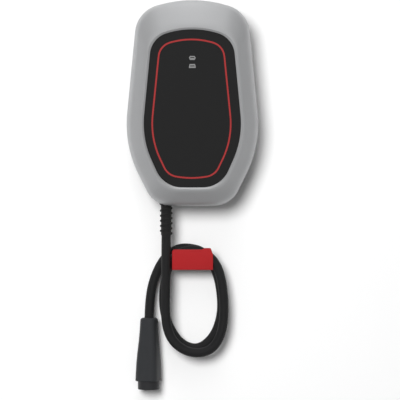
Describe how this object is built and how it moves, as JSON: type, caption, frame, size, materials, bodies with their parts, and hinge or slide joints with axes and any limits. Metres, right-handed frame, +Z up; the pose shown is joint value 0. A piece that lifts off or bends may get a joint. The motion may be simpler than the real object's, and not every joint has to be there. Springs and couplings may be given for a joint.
{
  "type": "electric car wall charger",
  "caption": "Wall-hung car charging box with a silver frame, black panel with a lit red line, a looped cable on a wall holder and a round plug.",
  "frame": {"origin": "centre of the four wall-fixing holes, on the wall face", "axes": "+Z up the wall, -Y out of the wall towards the user, +X to the user's right"},
  "size_m": [0.252, 0.1052, 0.7496],
  "materials": {
    "silver_paint": "satin silver-grey paint with a fine metallic grain",
    "black_panel": "smooth black acrylic",
    "red_light": "lit red diffuser",
    "grey_marks": "light grey inlay",
    "black_rubber": "matt black rubber",
    "dark_grey_plastic": "fine-grained dark grey plastic",
    "zinc_steel": "zinc-plated steel",
    "galvanised_steel": "galvanised sheet steel",
    "black_plastic": "black moulded plastic",
    "relief_plastic": "flexible black plastic",
    "cable_sheath": "matt black cable sheath",
    "handle_plastic": "fine-grained charcoal plastic",
    "nose_plastic": "black glass-filled plastic",
    "silver_plate": "bright plated metal",
    "red_plastic": "satin red moulded plastic",
    "board_green": "green circuit board with solder mask",
    "brass": "plain brass",
    "terminal_grey": "grey moulded plastic",
    "core_insulation": "coloured core insulation",
    "knob_red": "red moulded knob",
    "lamp_white": "white lamp body",
    "ribbon_grey": "grey ribbon insulation"
  },
  "bodies": {
    "wallbox": {"front_cover": "silver_paint", "front_panel": "black_panel", "light_line": "red_light", "status_marks": "grey_marks", "panel_seal": "black_rubber", "rear_housing": "dark_grey_plastic", "housing_gasket": "black_rubber", "cover_screws": "zinc_steel", "wall_bracket": "galvanised_steel", "lock_screw": "zinc_steel", "supply_grommet": "black_rubber", "vent_plug": "black_plastic", "gland_body": "black_plastic", "gland_nut": "black_plastic", "bend_relief": "relief_plastic", "charging_cable": "cable_sheath", "plug_handle": "handle_plastic", "plug_nose": "nose_plastic", "contact_insert": "nose_plastic", "contact_sleeves": "silver_plate", "cable_saddle": "black_plastic", "saddle_front_plate": "red_plastic", "power_board": "board_green", "board_screws": "zinc_steel", "board_spacers": "brass", "control_board": "board_green", "contactors": "black_plastic", "supply_transformer": "black_plastic", "capacitors": "silver_plate", "outlet_terminal": "terminal_grey", "supply_terminal": "terminal_grey", "terminal_screws": "zinc_steel", "leakage_sensor": "black_plastic", "cable_cores": "core_insulation", "selector_base": "black_plastic", "processor": "black_plastic", "radio_can": "zinc_steel", "light_board": "board_green", "light_emitters": "lamp_white", "reader_coil": "brass", "ribbon_cable": "ribbon_grey"},
    "selector": {"selector_knob": "knob_red"}
  },
  "joints": [
    {"name": "current_selector_turn", "type": "hinge", "parent": "wallbox", "child": "selector", "pos_m": [0.034, -0.0605, 0.026], "axis": [0, -1, 0], "range_deg": [0, 300]}
  ]
}
